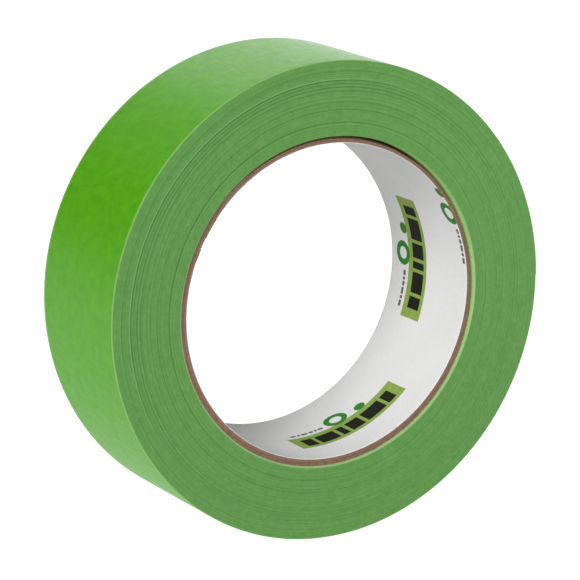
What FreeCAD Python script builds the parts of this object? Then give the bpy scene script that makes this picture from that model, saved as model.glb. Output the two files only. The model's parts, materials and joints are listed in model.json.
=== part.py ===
import FreeCAD, Part
import os

# A roll of masking tape standing on its edge.
#
# Frame, in millimetres: +Z is up, Y is the roll's axis, the front face looks along -Y, and the
# origin is where the roll touches what it stands on, halfway across its width.
#
# The core is a spiral-wound paper tube: a thin printed liner and three plies of board, each one
# strip laid round with a slanting seam where its two edges meet. A seam's lead is how far it
# would run along the core in a whole turn, and its gap is measured round the core.
#
# The tape is one strip. Its turns are stuck so tightly to each other that they are one solid, up
# to the line where the free end is peeled up. The free end is three short links, so that it can
# lift off and straighten, and it lies on the turn below, flush with the turn that it belongs to.
#
# Turns are spirals of four quarter arcs. Each arc's radius is a quarter of the tape's thickness
# less than that of the arc before it, and the centres of the arcs are the corners of a small
# square, so that the arcs run smoothly into each other. Seen from the front, the tape ends at
# three o'clock and its last turn runs from there anticlockwise, inwards.

SIZES = {
    "bore_diameter": 76.2,
    "liner_thickness": 0.13,
    "ply_thickness": 0.53,
    "core_inset": 0.7,
    "seam_gap": 0.3,
    "seam_lead": 71,
    "roll_diameter": 115.5,
    "tape_width": 36,
    "tape_thickness": 0.135,
    "backing_thickness": 0.1,
    "link_angle": 12,
}

PLY_NAMES = ("inner", "middle", "outer")
# Where each seam meets the core's back edge, in degrees round from three o'clock.
LINER_SEAM_ANGLE = 240
PLY_SEAM_ANGLES = (20, 285, 165)
LINK_NAMES = ("tip", "middle", "root")

QUARTER_TURN = 90
# The corners of the square that holds the arcs' centres, for the arcs that start at three,
# twelve, nine and six o'clock.
CENTRE_CORNERS = ((1, -1), (1, 1), (-1, 1), (-1, -1))

# How far a tool that cuts a solid runs past it, so that no two faces lie on each other.
OVERRUN = 2

CORE_LENGTH = "(Sizes.tape_width - 2 * Sizes.core_inset)"
BORE_RADIUS = "(Sizes.bore_diameter / 2)"
LINER_RADIUS = f"({BORE_RADIUS} + Sizes.liner_thickness)"
CORE_RADIUS = f"({LINER_RADIUS} + {len(PLY_NAMES)} * Sizes.ply_thickness)"
END_RADIUS = "(Sizes.roll_diameter / 2)"
FREE_END_ANGLE = f"({len(LINK_NAMES)} * Sizes.link_angle)"

# The lowest point of the last turn is five eighths of a thickness nearer to the axis than the
# tape's end is.
AXIS_HEIGHT = f"({END_RADIUS} - 5 / 8 * Sizes.tape_thickness)"

doc = FreeCAD.newDocument("masking_tape_roll")
sub_parts = []


def add_sheet():
    """The spreadsheet that holds the driving dimensions."""
    sheet = doc.addObject("Spreadsheet::Sheet", "Sizes")
    for row, (alias, value) in enumerate(SIZES.items(), start=1):
        sheet.set(f"A{row}", alias)
        sheet.set(f"B{row}", str(value))
        sheet.setAlias(f"B{row}", alias)
    doc.recompute()


def cylinder(name, radius, height):
    """A cylinder along Z with its middle at the origin. Its sizes are expressions."""
    solid = doc.addObject("Part::Cylinder", name)
    solid.setExpression("Radius", radius)
    solid.setExpression("Height", height)
    solid.setExpression("Placement.Base.z", f"-{height} / 2")
    return solid


def sector(name, radius, height, corner, start, angle):
    """A slice of a cylinder, about one of the four centres of the spiral's arcs."""
    solid = cylinder(name, radius, height)
    solid.setExpression("Angle", angle)
    solid.Placement.Rotation = FreeCAD.Rotation(FreeCAD.Vector(0, 0, 1), 0)
    solid.setExpression("Placement.Rotation.Angle", start)
    solid.setExpression("Placement.Base.x", f"{corner[0]} * Sizes.tape_thickness / 8")
    solid.setExpression("Placement.Base.y", f"{corner[1]} * Sizes.tape_thickness / 8")
    return solid


def cut(name, base, tool):
    """What is left of base when tool is taken away."""
    result = doc.addObject("Part::Cut", name)
    result.Base = base
    result.Tool = tool
    return result


def seam_slot(name, radius, start_angle):
    """The slanting gap where the two edges of a strip meet, as a bar swept along a helix."""
    path = doc.addObject("Part::Helix", f"{name}_path")
    path.setExpression("Radius", radius)
    path.setExpression("Pitch", "Sizes.seam_lead")
    path.setExpression("Height", f"{CORE_LENGTH} + {2 * OVERRUN}")
    path.LocalCoord = "Left-handed"
    section = doc.addObject("Part::Plane", f"{name}_section")
    section.setExpression("Length", f"Sizes.ply_thickness + {OVERRUN}")
    section.setExpression("Width", "Sizes.seam_gap")
    section.setExpression("Placement.Base.x", f"{radius} - Sizes.ply_thickness / 2 - {OVERRUN / 2}")
    section.setExpression("Placement.Base.y", "-Sizes.seam_gap / 2")
    slot = doc.addObject("Part::Sweep", name)
    slot.Sections = [section]
    slot.Spine = (path, ["Edge1"])
    slot.Solid = True
    slot.Frenet = True
    slot.Placement.Rotation = FreeCAD.Rotation(FreeCAD.Vector(0, 0, 1), start_angle)
    slot.setExpression("Placement.Base.z", f"-{CORE_LENGTH} / 2 - {OVERRUN}")
    return slot


def stand_up(result, label):
    """Turns a finished sub-part so that its axis lies along Y and the roll stands on Z = 0."""
    result.Label = label
    result.Placement.Rotation = FreeCAD.Rotation(FreeCAD.Vector(1, 0, 0), 90)
    result.setExpression("Placement.Base.z", AXIS_HEIGHT)
    sub_parts.append(result)


def add_core_layer(label, inner_radius, thickness, seam_angle):
    """One layer of the core: a tube with a slanting seam through its wall."""
    wall = cylinder(f"{label}_wall", f"{inner_radius} + {thickness}", CORE_LENGTH)
    hollow = cylinder(f"{label}_hollow", inner_radius, f"({CORE_LENGTH} + {2 * OVERRUN})")
    tube = cut(f"{label}_tube", wall, hollow)
    slot = seam_slot(f"{label}_seam", f"({inner_radius} + {thickness} / 2)", seam_angle)
    stand_up(cut(f"{label}_solid", tube, slot), label)


def add_core():
    """The printed liner, and the plies of board outside it."""
    add_core_layer("core_liner", BORE_RADIUS, "Sizes.liner_thickness", LINER_SEAM_ANGLE)
    for index, (name, seam_angle) in enumerate(zip(PLY_NAMES, PLY_SEAM_ANGLES)):
        inner_radius = f"({LINER_RADIUS} + {index} * Sizes.ply_thickness)"
        add_core_layer(f"core_ply_{name}", inner_radius, "Sizes.ply_thickness", seam_angle)


def add_wound_tape():
    """The whole tape but its free end. Its rim is the last turn of the spiral, and under the
    free end it is the turn below."""
    below = sector(
        "wound_slice_below",
        f"{END_RADIUS} - Sizes.tape_thickness",
        "Sizes.tape_width",
        CENTRE_CORNERS[0],
        "0",
        FREE_END_ANGLE,
    )
    slices = [below]
    for index, corner in enumerate(CENTRE_CORNERS):
        start = FREE_END_ANGLE if index == 0 else str(index * QUARTER_TURN)
        angle = f"{(index + 1) * QUARTER_TURN} - {start}"
        radius = f"{END_RADIUS} - {index} * Sizes.tape_thickness / 4"
        name = f"wound_slice_{index}"
        slices.append(sector(name, radius, "Sizes.tape_width", corner, start, angle))
    block = doc.addObject("Part::MultiFuse", "wound_block")
    block.Shapes = slices
    block.Refine = True
    hollow = cylinder("wound_hollow", CORE_RADIUS, f"(Sizes.tape_width + {2 * OVERRUN})")
    stand_up(cut("wound_solid", block, hollow), "wound_tape")


def add_free_end():
    """The links of the free end. They are as thick as the tape's paper alone: the film of
    adhesive under them is left open, as their clearance from the turn below."""
    for index, name in enumerate(LINK_NAMES):
        label = f"tape_end_{name}"
        start = f"{index} * Sizes.link_angle"
        corner = CENTRE_CORNERS[0]
        outside = sector(
            f"{label}_outside", END_RADIUS, "Sizes.tape_width", corner, start, "Sizes.link_angle"
        )
        inner_radius = f"({END_RADIUS} - Sizes.backing_thickness)"
        inside = sector(
            f"{label}_inside", inner_radius, "Sizes.tape_width", corner, start, "Sizes.link_angle"
        )
        stand_up(cut(f"{label}_solid", outside, inside), label)


def check_document():
    """Stops the build if anything in the document failed."""
    for item in doc.Objects:
        if "Invalid" in item.State or "Error" in item.State:
            raise RuntimeError(f"{item.Label} failed: {item.State}")
    for sub_part in sub_parts:
        shape = sub_part.Shape
        if shape.isNull() or not shape.isValid() or len(shape.Solids) != 1:
            raise RuntimeError(f"{sub_part.Label} isn't one valid solid")


def export_parts():
    """Writes one STEP file for each sub-part."""
    os.makedirs("parts", exist_ok=True)
    for sub_part in sub_parts:
        sub_part.Shape.exportStep(f"parts/{sub_part.Label}.step")
        low = sub_part.Shape.BoundBox
        print(f"{sub_part.Label}: {sub_part.Shape.Volume:.1f} mm3, lowest {low.ZMin:.3f}")


add_sheet()
add_core()
add_wound_tape()
add_free_end()
doc.recompute()
check_document()
export_parts()
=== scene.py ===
"""A roll of green masking tape that stands on its edge.

Everything is in metres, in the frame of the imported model: +Z is up, Y is the roll's axis, and the
front face looks along -Y. Angles run from three o'clock, seen from the front, anticlockwise.
"""

import json
import math

import bmesh
import bpy
import numpy as np
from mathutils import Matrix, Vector


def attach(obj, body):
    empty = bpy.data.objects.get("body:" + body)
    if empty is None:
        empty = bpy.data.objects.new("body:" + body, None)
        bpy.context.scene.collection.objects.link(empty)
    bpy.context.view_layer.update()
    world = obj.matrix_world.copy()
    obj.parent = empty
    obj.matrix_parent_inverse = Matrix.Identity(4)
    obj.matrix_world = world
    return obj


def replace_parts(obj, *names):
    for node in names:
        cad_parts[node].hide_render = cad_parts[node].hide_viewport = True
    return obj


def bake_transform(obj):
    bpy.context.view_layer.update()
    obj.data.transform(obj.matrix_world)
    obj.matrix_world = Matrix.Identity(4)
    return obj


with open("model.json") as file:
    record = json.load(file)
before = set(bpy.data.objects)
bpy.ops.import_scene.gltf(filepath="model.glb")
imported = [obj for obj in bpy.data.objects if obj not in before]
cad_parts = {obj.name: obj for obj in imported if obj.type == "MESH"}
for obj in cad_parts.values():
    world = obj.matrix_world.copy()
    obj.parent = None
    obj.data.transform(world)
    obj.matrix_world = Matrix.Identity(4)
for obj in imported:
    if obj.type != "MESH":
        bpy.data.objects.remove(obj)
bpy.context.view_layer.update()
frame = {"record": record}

MM = 0.001
FULL_TURN = 2 * math.pi
QUARTER_TURN = math.pi / 2

# What the frame gives.
MOUNTS = {mount["name"]: mount for mount in frame["record"]["mounts"]}
BORE_RADIUS = MOUNTS["core_bore"]["dims"]["r_mm"] * MM
CORE_HALF = MOUNTS["core_bore"]["dims"]["length_mm"] * MM / 2
AXIS_HEIGHT = MOUNTS["core_bore"]["pos_m"][2]
TAPE_HALF = -MOUNTS["front_face"]["pos_m"][1]

# The sizes that the frame doesn't give as numbers. The free end's film of adhesive is a little
# thinner than the rest of the tape's, so that it lies clear of the turn below.
TAPE_THICKNESS = 0.135 * MM
BACKING_THICKNESS = 0.1 * MM
ADHESIVE_THICKNESS = 0.03 * MM
LINER_THICKNESS = 0.13 * MM
PLY_THICKNESS = 0.53 * MM
SEAM_GAP = 0.3 * MM
SEAM_LEAD = 71 * MM
LINER_SEAM_ANGLE = 240
PLY_SEAM_ANGLES = {"inner": 20, "middle": 285, "outer": 165}
LINK_ANGLE = math.radians(12)
LINK_NAMES = ("root", "middle", "tip")

LINER_RADIUS = BORE_RADIUS + LINER_THICKNESS
CORE_RADIUS = LINER_RADIUS + len(PLY_SEAM_ANGLES) * PLY_THICKNESS

# The tape is a spiral of quarter arcs, whose centres are the corners of a small square. The lowest
# point of its first turn is five eighths of a thickness nearer to the axis than its end is.
END_RADIUS = AXIS_HEIGHT + 5 / 8 * TAPE_THICKNESS
FREE_END = len(LINK_NAMES) * LINK_ANGLE
ARC_CENTRES = np.array(((1, -1), (1, 1), (-1, 1), (-1, -1))) * TAPE_THICKNESS / 8

# Turns are counted inwards from the tape's end. The last one lies on the core. One turn stands
# proud of its neighbours, and one near it is sunk, each fading over part of a turn.
LAST_TURN = (END_RADIUS - CORE_RADIUS) / TAPE_THICKNESS
PROUD_TURN = 33
SUNK_TURN = PROUD_TURN + 1.8
PROUD_REACH = 0.7

# How far the strip may stray sideways from turn to turn, how much further in a turn's inner edge
# may lie than its outer one, how deep the strip's wrinkles are, and how far apart they are along
# the strip and across it, in millimetres.
STRAY = 0.07 * MM
TILT = 0.022 * MM
CREPE_DEPTH = 0.028 * MM
COARSE_WRINKLE = (0.95, 5.5)
FINE_WRINKLE = (0.62, 3.0)

# The bevel on the roll's inner edges.
BEVEL_TURNS = 3
BEVEL_DEPTH = 0.22 * MM

# The crack between the tape and the core at the front, which is widest at one angle.
CRACK_WIDTH = 0.95 * MM
CRACK_DEPTH = 5 * MM
CRACK_ANGLE = math.radians(58)
# By how much of the crack's width each ply is pushed in, at its outer side and at its inner side.
CRUSHED = {"inner": (0.2, 0), "middle": (0.6, 0.2), "outer": (1, 0.6)}

# How far the cut ends of the liner and of the plies are pulled in, at most.
LINER_RAGGED = 0.03 * MM
PLY_RAGGED = 0.16 * MM

# An angle this near to the border between two arcs counts as past it, and points this near to
# each other are one.
SMALL_ANGLE = 1e-9
SAME_POINT = 1e-8


# ---------------------------------------------------------------------------------------------
# Noise and shapes


def noise(x, y, seed):
    """Smooth noise from 0 to 1, with bumps one unit across."""
    x, y = np.broadcast_arrays(np.asarray(x, float), np.asarray(y, float))
    column, row = np.floor(x), np.floor(y)
    right, up = x - column, y - row
    right = right * right * (3 - 2 * right)
    up = up * up * (3 - 2 * up)

    def corner(step_x, step_y):
        wave = np.sin((column + step_x) * 127.1 + (row + step_y) * 311.7 + seed * 74.7) * 43758.5
        return wave - np.floor(wave)

    low = corner(0, 0) * (1 - right) + corner(1, 0) * right
    high = corner(0, 1) * (1 - right) + corner(1, 1) * right
    return low * (1 - up) + high * up


def spiral(turned, depth):
    """x and z of the tape after it has turned by that angle from its outer end, at a depth below
    its outer side. Every quarter turn is an arc about a centre of its own."""
    quarter = np.floor(turned / QUARTER_TURN + SMALL_ANGLE)
    centre = ARC_CENTRES[quarter.astype(int) % 4]
    radius = END_RADIUS - quarter * TAPE_THICKNESS / 4 - depth
    x = centre[..., 0] + radius * np.cos(turned)
    z = AXIS_HEIGHT + centre[..., 1] + radius * np.sin(turned)
    return x, z


def sideways(turned):
    """How far the strip lies to one side of where it should, after it has turned that far."""
    turns = turned / FULL_TURN
    quick = 2 * noise(turns * 1.4, 0, 1) - 1
    slow = 2 * noise(turns * 0.13, 0, 2) - 1
    proud = np.exp(-(((turns - PROUD_TURN) / PROUD_REACH) ** 2))
    sunk = np.exp(-(((turns - SUNK_TURN) / PROUD_REACH) ** 2))
    return STRAY * np.clip(0.34 * quick + 0.3 * slow - 0.8 * (proud - sunk), -1, 1)


def dip(turned):
    """How far the edges of the innermost turns lie inside the sides of the roll, as a bevel."""
    left = np.clip(LAST_TURN - turned / FULL_TURN, 0, BEVEL_TURNS)
    return BEVEL_DEPTH * (1 - left / BEVEL_TURNS) ** 1.5


def crepe(along, across):
    """Depth of the paper's wrinkles. They run across the tape, slightly bent, and each is a few
    millimetres long."""
    along, across = along / MM, across / MM
    bent = along + 1.6 * noise(across / 7, along / 9, 3)
    coarse = noise(bent / COARSE_WRINKLE[0], across / COARSE_WRINKLE[1], 4)
    fine = noise(bent / FINE_WRINKLE[0], across / FINE_WRINKLE[1], 5)
    return CREPE_DEPTH * (0.6 * coarse + 0.4 * fine)


def add_mesh(name, vertices, faces, materials, face_materials, along, across, flat):
    """A mesh object, with its faces smooth but for the flat ones. Its UV map holds metres along
    and across the strip that it is made of."""
    mesh = bpy.data.meshes.new(name)
    mesh.from_pydata(vertices.tolist(), [], faces)
    for material in materials:
        mesh.materials.append(material)
    mesh.polygons.foreach_set("material_index", face_materials)
    mesh.polygons.foreach_set("use_smooth", ~flat)
    corners = np.zeros(len(mesh.loops), int)
    mesh.loops.foreach_get("vertex_index", corners)
    layer = mesh.uv_layers.new(name="strip")
    layer.data.foreach_set("uv", np.stack((along, across), -1)[corners].astype(np.float32).ravel())
    mesh.update()
    piece = bpy.data.objects.new(name, mesh)
    bpy.context.scene.collection.objects.link(piece)
    return piece


def add_strip(name, angles, profile, place, radius, materials, side_materials):
    """A closed strip that goes round the axis. profile lists its section's corners as (across,
    depth), place puts a corner at an angle, and radius turns angles into lengths. side_materials
    has one number for each side of the section, from a corner to the next."""
    across, depth = np.array(profile).T
    turned, across = np.meshgrid(angles, across, indexing="ij")
    points = place(turned, across, np.broadcast_to(depth, across.shape))
    stations, corners = turned.shape
    faces = []
    face_materials = []
    for station in range(stations - 1):
        first = station * corners
        for corner in range(corners):
            here = first + corner
            following = first + (corner + 1) % corners
            faces.append((here, following, following + corners, here + corners))
        face_materials.extend(side_materials)
    start_cap = tuple(range(corners - 1, -1, -1))
    end_cap = tuple(range((stations - 1) * corners, stations * corners))
    faces.extend((start_cap, end_cap))
    face_materials.extend((0, 0))
    flat = np.zeros(len(faces), bool)
    flat[-2:] = True
    piece = add_mesh(
        name,
        points.reshape(-1, 3),
        faces,
        materials,
        face_materials,
        (turned * radius).ravel(),
        across.ravel(),
        flat,
    )
    return sharpen(piece)


def sharpen(piece, angle=math.radians(40)):
    """Marks the edges where the faces meet at more than an angle as sharp. Which faces are smooth
    stays as it was."""
    mesh = piece.data
    smooth = np.zeros(len(mesh.polygons), bool)
    mesh.polygons.foreach_get("use_smooth", smooth)
    mesh.set_sharp_from_angle(angle=angle)
    mesh.polygons.foreach_set("use_smooth", smooth)
    return piece


# ---------------------------------------------------------------------------------------------
# Materials


def shade(red, green, blue):
    """A colour given as it looks on a screen, from 0 to 255, as the linear one that shaders use."""
    linear = []
    for value in (red, green, blue):
        part = value / 255
        linear.append(part / 12.92 if part < 0.04045 else ((part + 0.055) / 1.055) ** 2.4)
    return (*linear, 1)


class Finish:
    """A material, with short ways to add the nodes that drive its shader. What the methods take
    as a value can be a number or another node's output."""

    def __init__(self, name, **constants):
        self.material = bpy.data.materials.new(name)
        self.material.use_nodes = True
        self.nodes = self.material.node_tree.nodes
        self.links = self.material.node_tree.links
        self.shader = self.nodes["Principled BSDF"]
        for socket, value in constants.items():
            self.shader.inputs[socket.replace("_", " ")].default_value = value

    def add(self, kind, inputs, **settings):
        """A node. inputs maps its sockets, by name or number, to outputs or plain values."""
        node = self.nodes.new(kind)
        for setting, value in settings.items():
            setattr(node, setting, value)
        for socket, value in inputs.items():
            if isinstance(value, bpy.types.NodeSocket):
                self.links.new(value, node.inputs[socket])
            else:
                node.inputs[socket].default_value = value
        return node

    def strip(self):
        """Millimetres along the strip and across it."""
        uv = self.add("ShaderNodeUVMap", {}, uv_map="strip").outputs[0]
        return self.scaled(uv, 1 / MM, 1 / MM, 1 / MM)

    def place(self):
        """Millimetres in the part's own frame."""
        point = self.add("ShaderNodeTexCoord", {}).outputs["Object"]
        return self.scaled(point, 1 / MM, 1 / MM, 1 / MM)

    def scaled(self, vector, x, y, z=1.0):
        """The vector with each of its parts multiplied."""
        inputs = {0: vector, 1: (x, y, z)}
        return self.add("ShaderNodeVectorMath", inputs, operation="MULTIPLY").outputs[0]

    def part(self, vector, axis):
        """The vector's x, y or z, for axis 0, 1 or 2."""
        return self.add("ShaderNodeSeparateXYZ", {0: vector}).outputs[axis]

    def dot(self, vector, x, y):
        """How far the vector goes along (x, y), times the length of that."""
        inputs = {0: vector, 1: (x, y, 0)}
        return self.add("ShaderNodeVectorMath", inputs, operation="DOT_PRODUCT").outputs["Value"]

    def math(self, operation, first, second=0.0):
        """A sum or comparison of one or two values."""
        inputs = {0: first, 1: second}
        return self.add("ShaderNodeMath", inputs, operation=operation).outputs[0]

    def noise(self, vector, detail, roughness, distortion=0.0):
        """Noise from 0 to 1, with bumps about one unit across."""
        inputs = {
            "Vector": vector,
            "Scale": 1.0,
            "Detail": detail,
            "Roughness": roughness,
            "Distortion": distortion,
        }
        return self.add("ShaderNodeTexNoise", inputs).outputs[0]

    def turn_noise(self, value, detail=0.0):
        """Noise of one value, such as how many turns the strip has made."""
        inputs = {"W": value, "Scale": 1.0, "Detail": detail}
        return self.add("ShaderNodeTexNoise", inputs, noise_dimensions="1D").outputs[0]

    def spread(self, value, low, high, new_low=0.0, new_high=1.0):
        """value from low to high, as a value from new_low to new_high."""
        inputs = {0: value, 1: low, 2: high, 3: new_low, 4: new_high}
        return self.add("ShaderNodeMapRange", inputs).outputs[0]

    def near(self, value, middle, reach):
        """1 where value is that near to the middle, and 0 elsewhere."""
        distance = self.math("ABSOLUTE", self.math("SUBTRACT", value, middle))
        return self.math("LESS_THAN", distance, reach)

    def mix(self, share, first, second):
        """A colour between two others."""
        inputs = {0: share, 6: first, 7: second}
        return self.add("ShaderNodeMix", inputs, data_type="RGBA").outputs[2]

    def bump(self, height, strength, distance, under=None):
        """A normal that follows a height, on top of another normal if there is one under it."""
        inputs = {"Height": height, "Strength": strength, "Distance": distance}
        if under is not None:
            inputs["Normal"] = under
        return self.add("ShaderNodeBump", inputs).outputs[0]

    def drive(self, socket, value):
        """Puts a value into the shader."""
        self.links.new(value, self.shader.inputs[socket])


def crepe_paper():
    """The outer side of the tape: saturated green crepe paper with a smooth release coat."""
    finish = Finish("crepe_paper", Specular_IOR_Level=0.2)
    strip = finish.strip()
    wrinkles = finish.noise(finish.scaled(strip, 2.4, 0.22), 3, 0.55, 0.6)
    fibres = finish.noise(finish.scaled(strip, 6, 2.2), 4, 0.65)
    blotches = finish.noise(finish.scaled(strip, 0.38, 0.3), 4, 0.6)
    base = finish.mix(finish.spread(blotches, 0.3, 0.7), shade(72, 154, 3), shade(90, 171, 12))
    # Painted highlight: the crests of the wrinkles and the tops of the fibres, which the bumps below
    # raise, are painted lighter.
    base = finish.mix(finish.spread(wrinkles, 0.35, 0.75, 0, 0.3), base, shade(102, 180, 20))
    base = finish.mix(finish.spread(fibres, 0.62, 0.85, 0, 0.35), base, shade(116, 186, 46))
    base = finish.mix(finish.spread(fibres, 0.38, 0.2, 0, 0.35), base, shade(48, 118, 2))
    from_middle = finish.math("ABSOLUTE", finish.part(strip, 1))
    # Painted highlight with fraying: the last part of a millimetre at each rim is painted paler, for
    # its frayed fibres and for the light that the rounded edge catches. The cut tip is paler for its
    # frayed fibres alone.
    rim_fray_and_highlight = finish.spread(from_middle, TAPE_HALF / MM - 0.8, TAPE_HALF / MM - 0.35, 0, 0.7)
    tip = finish.spread(finish.part(strip, 0), 0.5, 0.1, 0, 0.75)
    worn_and_highlit = finish.math("MAXIMUM", rim_fray_and_highlight, tip)
    finish.drive("Base Color", finish.mix(worn_and_highlit, base, shade(146, 188, 116)))
    finish.drive("Roughness", finish.spread(wrinkles, 0.3, 0.7, 0.36, 0.5))
    relief = finish.bump(wrinkles, 0.5, 0.05 * MM)
    finish.drive("Normal", finish.bump(fibres, 0.35, 0.02 * MM, relief))
    return finish.material


# Half the width of the lines painted on the proud and the sunk turn, a painted highlight and a
# painted shade, in turns.
HALF_LINE = 0.9


def wound_edges():
    """The sides of the roll: the cut edges of all the turns. Their tints change slowly along the
    strip, which shows as fine rings. A few turns are painted dark, a painted shade of grooves, most
    of all on the upper left, and the proud turn has a painted highlight and the sunk one a painted
    shade. The innermost ones are a pale lip, pale adhesive with a painted highlight, most of all at
    the bottom."""
    finish = Finish("wound_edges", Specular_IOR_Level=0.25, Roughness=0.7)
    turns = finish.add("ShaderNodeAttribute", {}, attribute_name="turns").outputs["Fac"]
    along = finish.part(finish.strip(), 0)
    place = finish.place()
    rings = finish.turn_noise(finish.math("MULTIPLY", turns, 0.62), 2)
    grooves = finish.turn_noise(finish.math("MULTIPLY", turns, 0.31))
    dashes = finish.turn_noise(finish.math("MULTIPLY", along, 0.12), 2)
    mottle = finish.noise(finish.scaled(place, 0.75, 0.75, 0.75), 4, 0.65, 0.5)
    specks = finish.noise(finish.scaled(place, 2.6, 2.6, 2.6), 3, 0.6)
    base = finish.mix(finish.spread(mottle, 0.36, 0.66), shade(91, 145, 70), shade(101, 154, 80))
    base = finish.mix(finish.spread(rings, 0.55, 0.75, 0, 0.3), base, shade(124, 174, 102))
    base = finish.mix(finish.spread(rings, 0.42, 0.25, 0, 0.35), base, shade(64, 114, 46))
    base = finish.mix(finish.spread(dashes, 0.55, 0.8, 0, 0.15), base, shade(134, 180, 108))
    base = finish.mix(finish.spread(specks, 0.62, 0.8, 0, 0.3), base, shade(140, 182, 118))
    upper_left = finish.math("SUBTRACT", finish.part(place, 2), finish.part(place, 0))
    # Painted shade: a few turns, picked by the groove noise, are painted dark as if they lay deep in
    # a groove. This is colour alone, not depth.
    painted_groove_shade = finish.spread(grooves, 0.33, 0.22, 0, 0.55)
    painted_groove_shade = finish.math("MULTIPLY", painted_groove_shade, finish.spread(upper_left, 10, 110, 0.35, 1))
    base = finish.mix(painted_groove_shade, base, shade(56, 104, 38))
    # Painted highlight on the proud turn and painted shade on the sunk one, shown most on the upper
    # left.
    shown = finish.spread(upper_left, 62, 115, 0, 0.6)
    for turn, relief_light_tint in ((PROUD_TURN, shade(132, 180, 112)), (SUNK_TURN, shade(54, 102, 38))):
        relief_light_line = finish.math("MULTIPLY", finish.near(turns, turn, HALF_LINE), shown)
        base = finish.mix(relief_light_line, base, relief_light_tint)
    # The innermost turns are painted pale: pale adhesive at their edges, with a painted highlight
    # that makes them paler towards the bottom, where light from above falls on their bevel.
    lip = finish.spread(turns, LAST_TURN - 3.4, LAST_TURN - 2.8)
    low = finish.spread(finish.part(place, 2), 90, 60, 0.1, 0.75)
    base = finish.mix(finish.math("MULTIPLY", lip, low), base, shade(168, 202, 138))
    finish.drive("Base Color", base)
    relief = finish.bump(specks, 0.3, 0.03 * MM)
    finish.drive("Normal", finish.bump(mottle, 0.25, 0.05 * MM, relief))
    return finish.material


def adhesive():
    """The inner side of the tape, with its film of rubber adhesive."""
    finish = Finish("adhesive", Specular_IOR_Level=0.35)
    strip = finish.strip()
    film = finish.noise(finish.scaled(strip, 1.1, 0.35), 3, 0.6, 0.4)
    strings = finish.noise(finish.scaled(strip, 0.5, 3.5), 3, 0.6)
    base = finish.mix(finish.spread(film, 0.3, 0.7), shade(150, 184, 104), shade(176, 204, 130))
    base = finish.mix(finish.spread(strings, 0.55, 0.8, 0, 0.3), base, shade(196, 216, 156))
    finish.drive("Base Color", base)
    finish.drive("Roughness", finish.spread(film, 0.3, 0.7, 0.34, 0.5))
    finish.drive("Normal", finish.bump(film, 0.1, 0.01 * MM))
    return finish.material


def core_board(name, light, dark):
    """Brown core board, with long fibres that show at its cut edge."""
    finish = Finish(name, Specular_IOR_Level=0.2, Roughness=0.85)
    place = finish.place()
    strip = finish.strip()
    fibres = finish.noise(finish.scaled(strip, 0.9, 4), 4, 0.65)
    grain = finish.noise(finish.scaled(place, 4, 4, 4), 4, 0.7)
    flecks = finish.noise(finish.scaled(place, 1.3, 1.3, 1.3), 3, 0.6)
    base = finish.mix(finish.spread(fibres, 0.3, 0.7), dark, light)
    base = finish.mix(finish.spread(grain, 0.5, 0.8, 0, 0.5), base, shade(176, 148, 128))
    base = finish.mix(finish.spread(flecks, 0.42, 0.25, 0, 0.5), base, shade(84, 60, 48))
    finish.drive("Base Color", base)
    relief = finish.bump(grain, 0.7, 0.06 * MM)
    finish.drive("Normal", finish.bump(fibres, 0.4, 0.04 * MM, relief))
    return finish.material


# The print on the liner, in millimetres round the bore and behind the tape's front side. It is a
# lattice of groups, each a bar with blocks in it, with a ring, a dot and a row of dashes beside it.
# Places in a group are counted from the bar's middle. After every so many groups along the first
# step, one is left out.
PRINT_START = (math.radians(291) * BORE_RADIUS / MM, 14.1)
PRINT_STEPS = ((48.0, 9.1), (16.4, -27.5))
GROUPS_PRINTED = 2
BAR_SIZE = (31.6, 8.3)
BLOCK_WIDTHS = (3.0, 5.2, 1.8, 3.8, 5.8, 2.6)
BLOCK_GAP = 0.9
BLOCK_HEIGHT = 5.0
BLOCK_LEVEL = -0.3
RING_CENTRE = (-0.4, 6.7)
RING_RADII = (1.6, 3.1)
DOT_CENTRE = (6.3, 5.4)
DOT_RADIUS = 1.5
DASH_WIDTHS = (1.5, 0.8, 1.7, 1.1, 0.7, 1.3)
DASH_GAP = 0.4
DASH_HEIGHT = 1.0
DASH_PLACE = (-13.8, 5.9)


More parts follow.
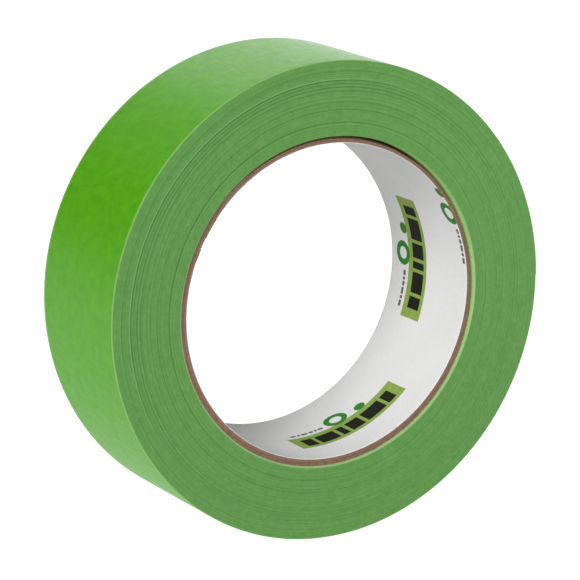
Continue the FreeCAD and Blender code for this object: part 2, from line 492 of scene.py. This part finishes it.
def liner_paper():
    """White coated paper with a plain repeated print."""
    finish = Finish("liner_paper", Specular_IOR_Level=0.15)
    strip = finish.strip()
    start = {0: strip, 1: (*PRINT_START, 0)}
    offset = finish.add("ShaderNodeVectorMath", start, operation="SUBTRACT").outputs[0]
    (first_x, first_y), (second_x, second_y) = PRINT_STEPS
    area = first_x * second_y - first_y * second_x
    steps = (
        finish.dot(offset, second_y / area, -second_x / area),
        finish.dot(offset, -first_y / area, first_x / area),
    )
    shifted = [finish.math("ADD", step, 0.5) for step in steps]
    wrapped = [finish.math("FLOORED_MODULO", step, 1.0) for step in shifted]
    parts = [finish.math("SUBTRACT", step, 0.5) for step in wrapped]
    local = finish.add("ShaderNodeCombineXYZ", {0: parts[0], 1: parts[1]}).outputs[0]
    group = finish.math("FLOORED_MODULO", shifted[0], GROUPS_PRINTED + 1)
    printed = finish.math("LESS_THAN", group, GROUPS_PRINTED)
    along = finish.dot(local, first_x, second_x)
    across = finish.dot(local, first_y, second_y)
    here = finish.add("ShaderNodeCombineXYZ", {0: along, 1: across}).outputs[0]

    def block(centre, size):
        """1 inside a rectangle."""
        sides = []
        for value, middle, length in zip((along, across), centre, size):
            sides.append(finish.near(value, middle, length / 2))
        return finish.math("MULTIPLY", *sides)

    def disc(centre, radius):
        """1 inside a circle."""
        inputs = {0: here, 1: (*centre, 0)}
        distance = finish.add("ShaderNodeVectorMath", inputs, operation="DISTANCE").outputs["Value"]
        return finish.math("LESS_THAN", distance, radius)

    def row(widths, gap, height, left, level):
        """1 inside a row of rectangles."""
        shown = None
        for width in widths:
            mark = block((left + width / 2, level), (width, height))
            shown = mark if shown is None else finish.math("ADD", shown, mark)
            left += width + gap
        return shown

    fibres = finish.noise(finish.scaled(strip, 1.4, 2.0), 4, 0.6)
    cloud = finish.noise(finish.scaled(strip, 0.09, 0.12), 2, 0.5)
    wear = finish.noise(finish.scaled(strip, 0.7, 0.9), 4, 0.7)
    paper = finish.mix(finish.spread(fibres, 0.3, 0.7), shade(236, 236, 235), shade(246, 246, 245))
    paper = finish.mix(finish.spread(cloud, 0.35, 0.7, 0, 0.3), paper, shade(229, 230, 230))
    ink = finish.mix(finish.spread(wear, 0.3, 0.7), shade(132, 164, 66), shade(158, 184, 96))
    base = finish.mix(block((0, 0), BAR_SIZE), paper, ink)
    length = sum(BLOCK_WIDTHS) + BLOCK_GAP * (len(BLOCK_WIDTHS) - 1)
    blocks = row(BLOCK_WIDTHS, BLOCK_GAP, BLOCK_HEIGHT, -length / 2, BLOCK_LEVEL)
    base = finish.mix(blocks, base, finish.mix(wear, shade(20, 22, 17), shade(38, 42, 30)))
    dashes = row(DASH_WIDTHS, DASH_GAP, DASH_HEIGHT, *DASH_PLACE)
    base = finish.mix(dashes, base, shade(104, 108, 104))
    ring = finish.math("SUBTRACT", disc(RING_CENTRE, RING_RADII[1]), disc(RING_CENTRE, RING_RADII[0]))
    base = finish.mix(ring, base, shade(58, 138, 52))
    base = finish.mix(disc(DOT_CENTRE, DOT_RADIUS), base, shade(58, 138, 52))
    finish.drive("Base Color", finish.mix(printed, paper, base))
    finish.drive("Roughness", finish.spread(fibres, 0.3, 0.7, 0.55, 0.66))
    finish.drive("Normal", finish.bump(fibres, 0.25, 0.015 * MM))
    return finish.material


# ---------------------------------------------------------------------------------------------
# The tape


def strip_profile(half_width, thickness, columns):
    """The corners of the tape's section, from the front edge across its outer side and back
    under it. Its outer corners are slightly rounded."""
    soft = 0.25 * thickness
    outer = [(-half_width, 2 * soft), (-half_width + soft / 3, soft / 1.5)]
    outer += [(x, 0.0) for x in np.linspace(-half_width + 2 * soft, half_width - 2 * soft, columns)]
    outer += [(half_width - soft / 3, soft / 1.5), (half_width, 2 * soft)]
    inner = [(half_width, thickness), (-half_width, thickness)]
    return outer + inner


def place_on_spiral(turned, across, depth):
    """Puts the strip's points on the spiral, with wrinkles in its outer side. Only the corners of
    that side are less than a third of the tape's thickness deep."""
    on_top = depth < TAPE_THICKNESS / 3
    lower = depth + on_top * crepe(turned * END_RADIUS, across)
    x, z = spiral(turned, lower)
    return np.stack((x, across + sideways(turned), z), -1)


HALF_STRIP = TAPE_HALF - STRAY
STATION_LENGTH = 0.3 * MM
COLUMNS = 31
STEPS_PER_TURN = 144

# Which side of the strip's section is its inner one. It is the last but one.
INNER_SIDE = -2


def stations(start, end):
    """Angles close enough together for the wrinkles."""
    return np.linspace(start, end, round((end - start) * END_RADIUS / STATION_LENGTH) + 1)


def add_outer_turn(paper, edges):
    """The turn that shows, from the line where the free end lifts, and on under the free end."""
    profile = strip_profile(HALF_STRIP, TAPE_THICKNESS, COLUMNS)
    sides = [0] * len(profile)
    sides[INNER_SIDE] = 1
    piece = add_strip(
        "outer_turn",
        stations(FREE_END, FREE_END + FULL_TURN),
        profile,
        place_on_spiral,
        END_RADIUS,
        (paper, edges),
        sides,
    )
    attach(piece, "roll")
    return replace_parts(piece, "wound_tape")


def weld(piece):
    """Joins the points that lie on each other, and turns every face outwards."""
    mesh = bmesh.new()
    mesh.from_mesh(piece.data)
    bmesh.ops.remove_doubles(mesh, verts=mesh.verts, dist=SAME_POINT)
    bmesh.ops.recalc_face_normals(mesh, faces=mesh.faces)
    mesh.to_mesh(piece.data)
    mesh.free()


def add_windings(edges, inner_side, paper):
    """All the other turns. Each shows its two cut edges, which are faces of their own, with
    small steps from turn to turn. The innermost turn reaches down to the core."""
    step = FULL_TURN / STEPS_PER_TURN
    start = FREE_END + FULL_TURN
    end = LAST_TURN * FULL_TURN
    count = int((end - start) / step)
    innermost = count - STEPS_PER_TURN
    turned = start + step * np.arange(count)
    outer_x, outer_z = spiral(turned, 0.0)
    inner_x, inner_z = spiral(turned + FULL_TURN, 0.0)
    inner_x[innermost:] = CORE_RADIUS * np.cos(turned[innermost:])
    inner_z[innermost:] = AXIS_HEIGHT + CORE_RADIUS * np.sin(turned[innermost:])
    shift = sideways(turned)
    tilt = TILT * noise(turned / FULL_TURN * 1.9, 0, 6)
    outer_width = HALF_STRIP - dip(turned)
    inner_width = HALF_STRIP - dip(turned + FULL_TURN) - tilt
    rows = []
    for side in (-1, 1):
        outer_y = side * outer_width + shift
        inner_y = side * inner_width + shift
        # The first and the last step between two turns have no height, so that they close.
        inner_y[0] = outer_y[STEPS_PER_TURN]
        inner_y[innermost - 1] = outer_y[-1]
        rows.append((outer_x, outer_y, outer_z))
        rows.append((inner_x, inner_y, inner_z))
    vertices = np.concatenate([np.stack(row, -1) for row in rows])
    numbers = np.arange(len(vertices)).reshape(len(rows), count).tolist()
    front_outer, front_inner, back_outer, back_inner = numbers

    cut_edge, sticky, outside = range(3)
    faces, kinds = [], []

    def band(first, second, kind):
        """Faces between two rows of points."""
        for index in range(len(first) - 1):
            faces.append((first[index], first[index + 1], second[index + 1], second[index]))
            kinds.append(kind)

    # The cut edges, the steps between them, the bare outer side and the bare inner side.
    band(front_inner, front_outer, cut_edge)
    band(back_outer, back_inner, cut_edge)
    band(front_outer[STEPS_PER_TURN:], front_inner[:innermost], cut_edge)
    band(back_inner[:innermost], back_outer[STEPS_PER_TURN:], cut_edge)
    band(front_outer[: STEPS_PER_TURN + 1], back_outer[: STEPS_PER_TURN + 1], outside)
    band(back_inner[innermost - 1 :], front_inner[innermost - 1 :], sticky)
    for index in (0, count - 1):
        corners = [row[index] for row in (front_outer, front_inner, back_inner, back_outer)]
        faces.append(tuple(corners if index == 0 else reversed(corners)))
        kinds.append(cut_edge)
    flat = np.array(kinds) == cut_edge
    piece = add_mesh(
        "windings",
        vertices,
        faces,
        (edges, inner_side, paper),
        kinds,
        np.tile(turned * END_RADIUS, len(rows)),
        vertices[:, 1],
        flat,
    )
    attribute = piece.data.attributes.new("turns", "FLOAT", "POINT")
    turns = np.tile(turned / FULL_TURN, len(rows))
    attribute.data.foreach_set("value", turns.astype(np.float32))
    weld(piece)
    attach(piece, "roll")
    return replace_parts(piece, "wound_tape")


def cut_end(turned, across, depth):
    """The free end's points. Its last edge is a knife's cut, which isn't quite straight."""
    long_wave = (0.5 - noise(across / MM / 6, 0, 7)) * 0.25 * MM
    short_wave = (0.5 - noise(across / MM / 0.8, 0, 8)) * 0.06 * MM
    near_end = np.clip(1 - turned * END_RADIUS / MM, 0, 1)
    pulled_back = np.abs(long_wave + short_wave) * near_end
    return place_on_spiral(turned + pulled_back / END_RADIUS, across, depth)


def add_free_end(paper, sticky):
    """The three lengths of the free end. Each lies between two angles on either side of its hinge
    or, for the first, from the hinge on, and each meets the next at one of these angles."""
    thickness = BACKING_THICKNESS + ADHESIVE_THICKNESS
    profile = strip_profile(HALF_STRIP, thickness, COLUMNS)
    sides = [0] * len(profile)
    sides[INNER_SIDE] = 1
    # Where the lengths meet, in links from the line where the end lifts.
    joins = (0, 0.5, 1.5, 3)
    for number, name in enumerate(LINK_NAMES):
        first, last = [FREE_END - links * LINK_ANGLE for links in joins[number : number + 2]]
        piece = add_strip(
            f"free_end_{name}",
            stations(last, first),
            profile,
            cut_end,
            END_RADIUS,
            (paper, sticky),
            sides,
        )
        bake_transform(piece)
        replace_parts(piece, f"tape_end_{name}")


# ---------------------------------------------------------------------------------------------
# The core


# How finely the core's layers are divided along their length and round them, how far their edges
# are rounded, and how far a seam turns for every metre along the core.
WALL_ROWS = 59
WALL_STATIONS = 361
SOFT_EDGE = 0.06 * MM
LEAD_ANGLE = FULL_TURN / SEAM_LEAD


def crack(angle, across):
    """How wide the crack outside the core is. It closes away from the front, and towards the
    side of the core across from where it is widest."""
    behind = (across + CORE_HALF) / CRACK_DEPTH
    open_share = np.clip(np.cos(angle - CRACK_ANGLE), 0, 1) ** 0.6
    uneven = 0.85 + 0.15 * noise(angle * CORE_RADIUS / MM / 4, 0, 11)
    return CRACK_WIDTH * open_share * uneven * np.clip(1 - behind, 0, 1)


def add_core_layer(name, node, radii, seam_angle, material, ragged, crushed=(0, 0)):
    """One layer of the core: a strip of paper laid round in a slanting turn, whose two edges
    nearly meet. Its ends are fibrous where the core was cut."""
    inner, outer = radii
    thickness = outer - inner
    soft = min(SOFT_EDGE, thickness / 6)
    across = np.linspace(-CORE_HALF + 2 * soft, CORE_HALF - 2 * soft, WALL_ROWS)
    profile = [(-CORE_HALF, soft)]
    profile += [(x, 0.0) for x in across]
    profile += [(CORE_HALF, soft)]
    depths = np.linspace(2 * soft, thickness - 2 * soft, 3)
    profile += [(CORE_HALF, depth) for depth in depths]
    profile += [(CORE_HALF, thickness - soft)]
    profile += [(x, thickness) for x in across[::-1]]
    profile += [(-CORE_HALF, thickness - soft)]
    profile += [(-CORE_HALF, depth) for depth in depths[::-1]]
    gap_angle = SEAM_GAP / ((inner + outer) / 2)

    def place(turned, across, depth):
        angle = turned + (across - CORE_HALF) * LEAD_ANGLE
        outer_share, inner_share = crushed
        share = outer_share + (inner_share - outer_share) * depth / thickness
        depth = depth + crack(angle, across) * share
        at_end = np.abs(across) > CORE_HALF - soft / 2
        fibres = noise(angle * outer / MM / 0.9, depth / MM / 0.2, 9)
        waves = noise(angle * outer / MM / 3, 0, 10)
        pulled_in = across - np.sign(across) * at_end * (fibres + waves) / 2 * ragged
        x = (outer - depth) * np.cos(angle)
        z = AXIS_HEIGHT + (outer - depth) * np.sin(angle)
        return np.stack((x, pulled_in, z), -1)

    start = math.radians(seam_angle) + gap_angle / 2
    angles = np.linspace(start, start + FULL_TURN - gap_angle, WALL_STATIONS)
    piece = add_strip(name, angles, profile, place, inner, (material,), [0] * len(profile))
    lay_out(piece, inner)
    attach(piece, "roll")
    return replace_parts(piece, node)


def lay_out(piece, radius):
    """Sets a core layer's UV map to metres round the bore and metres behind the tape's front
    side, so that what is printed on it is square on the strip."""
    mesh = piece.data
    points = np.zeros(len(mesh.vertices) * 3)
    mesh.vertices.foreach_get("co", points)
    points = points.reshape(-1, 3)
    corners = np.zeros(len(mesh.loops), int)
    mesh.loops.foreach_get("vertex_index", corners)
    layer = mesh.uv_layers["strip"]
    uv = np.zeros(len(corners) * 2, np.float32)
    layer.data.foreach_get("uv", uv)
    uv = uv.reshape(-1, 2)
    uv[:, 0] += (uv[:, 1] - CORE_HALF) * LEAD_ANGLE * radius
    uv[:, 1] = points[corners, 1] + TAPE_HALF
    layer.data.foreach_set("uv", uv.ravel())


def add_core():
    """The liner and the three plies outside it."""
    boards = {
        "inner": core_board("core_board_inner", shade(150, 116, 98), shade(126, 96, 80)),
        "middle": core_board("core_board_middle", shade(138, 108, 94), shade(116, 88, 74)),
        "outer": core_board("core_board_outer", shade(152, 122, 104), shade(122, 92, 78)),
    }
    add_core_layer(
        "liner",
        "core_liner",
        (BORE_RADIUS, LINER_RADIUS),
        LINER_SEAM_ANGLE,
        liner_paper(),
        LINER_RAGGED,
    )
    for index, (name, seam_angle) in enumerate(PLY_SEAM_ANGLES.items()):
        inner = LINER_RADIUS + index * PLY_THICKNESS
        add_core_layer(
            f"ply_{name}",
            f"core_ply_{name}",
            (inner, inner + PLY_THICKNESS),
            seam_angle,
            boards[name],
            PLY_RAGGED,
            crushed=CRUSHED[name],
        )


# ---------------------------------------------------------------------------------------------
# Floor, light and camera

FLOOR_HALF = 12.0

# How bright the floor and the background look, and how bright the background is as a light.
WHITE = 0.97
WORLD_LIGHT = 0.03

# The place of each soft light, the length of its side and its power, in metres and watts.
LIGHTS = {
    "key": ((-0.85, -0.7, 0.9), 0.6, 11.5),
    "front": ((0.2, -1.3, 0.5), 0.8, 3.5),
    "behind_right": ((0.62, 1.1, 0.45), 1.0, 7),
    "behind_left": ((-0.2, 1.0, 0.95), 0.9, 1.8),
    "overhead": ((-0.05, 0.15, 1.15), 0.7, 3.1),
    "low_left": ((-0.45, -0.6, 0.16), 0.3, 1.7),
    "floor_glow": ((0, 0, 0.002), 1.2, 1.4),
}
# What lights everything but the liner, and what lights the liner alone.
OFF_THE_LINER = ("behind_right", "overhead", "floor")
ON_THE_LINER = ("low_left", "floor_glow")

# The camera stands to the left of the front face and above it. VIEW_RIGHT and VIEW_DOWN are how
# far to the right of the picture's middle, and below it, the middle of that face lies.
VIEW_AZIMUTH = math.radians(-29.55)
VIEW_ELEVATION = math.radians(13.86)
VIEW_DISTANCE = 784.9 * MM
VIEW_RIGHT = 9.79 * MM
VIEW_DOWN = 3.05 * MM
LENS = 207.0


def add_floor():
    """A floor that glows as white as the background."""
    mesh = bpy.data.meshes.new("floor")
    corners = [(x * FLOOR_HALF, y * FLOOR_HALF, 0) for x, y in ((-1, -1), (1, -1), (1, 1), (-1, 1))]
    mesh.from_pydata(corners, [], [(0, 1, 2, 3)])
    finish = Finish(
        "floor",
        Base_Color=(0.22, 0.22, 0.22, 1),
        Roughness=1.0,
        Emission_Color=(1, 1, 1, 1),
        Emission_Strength=WHITE,
    )
    mesh.materials.append(finish.material)
    floor = bpy.data.objects.new("floor", mesh)
    bpy.context.scene.collection.objects.link(floor)


def add_light(name, place, size, power):
    """A square soft light that faces the roll, and that the camera doesn't see."""
    data = bpy.data.lights.new(name, "AREA")
    data.size = size
    data.energy = power
    light = bpy.data.objects.new(name, data)
    bpy.context.scene.collection.objects.link(light)
    light.location = place
    towards = Vector((0, 0, AXIS_HEIGHT)) - light.location
    light.rotation_euler = towards.to_track_quat("-Z", "Y").to_euler()
    light.visible_camera = False


def link_light(light, piece, state):
    """Makes a light shine on one piece alone, with the state INCLUDE, or on all but that one, with
    the state EXCLUDE."""
    lit = bpy.data.collections.new(f"{light.name}_lit")
    lit.objects.link(piece)
    lit.collection_objects[0].light_linking.link_state = state
    light.light_linking.receiver_collection = lit


def add_world():
    """A background that the camera sees as white, and that adds only a little light."""
    world = bpy.data.worlds.new("studio")
    bpy.context.scene.world = world
    world.use_nodes = True
    nodes = world.node_tree.nodes
    background = nodes["Background"]
    background.inputs["Color"].default_value = (1, 1, 1, 1)
    seen = nodes.new("ShaderNodeLightPath").outputs["Is Camera Ray"]
    strength = nodes.new("ShaderNodeMapRange")
    strength.inputs["To Min"].default_value = WORLD_LIGHT
    strength.inputs["To Max"].default_value = WHITE
    world.node_tree.links.new(seen, strength.inputs["Value"])
    world.node_tree.links.new(strength.outputs[0], background.inputs["Strength"])


def add_camera():
    """The camera at the photograph's angle. back points from the roll to the camera."""
    level = math.cos(VIEW_ELEVATION)
    x = math.sin(VIEW_AZIMUTH) * level
    y = -math.cos(VIEW_AZIMUTH) * level
    back = Vector((x, y, math.sin(VIEW_ELEVATION)))
    right = Vector((math.cos(VIEW_AZIMUTH), math.sin(VIEW_AZIMUTH), 0))
    up = back.cross(right)
    aim = Vector((0, -TAPE_HALF, AXIS_HEIGHT)) - VIEW_RIGHT * right + VIEW_DOWN * up
    data = bpy.data.cameras.new("camera")
    data.lens = LENS
    camera = bpy.data.objects.new("camera", data)
    bpy.context.scene.collection.objects.link(camera)
    camera.location = aim + back * VIEW_DISTANCE
    camera.rotation_euler = (-back).to_track_quat("-Z", "Y").to_euler()
    bpy.context.scene.camera = camera


add_floor()
add_world()
for light_name, (place, side, power) in LIGHTS.items():
    add_light(light_name, place, side, power)
add_camera()
bpy.context.scene.view_settings.view_transform = "Standard"

crepe_side = crepe_paper()
edge_side = wound_edges()
sticky_side = adhesive()
add_outer_turn(crepe_side, edge_side)
add_windings(edge_side, sticky_side, crepe_side)
add_free_end(crepe_side, sticky_side)
add_core()
for light_names, state in ((OFF_THE_LINER, "EXCLUDE"), (ON_THE_LINER, "INCLUDE")):
    for light_name in light_names:
        link_light(bpy.data.objects[light_name], bpy.data.objects["liner"], state)
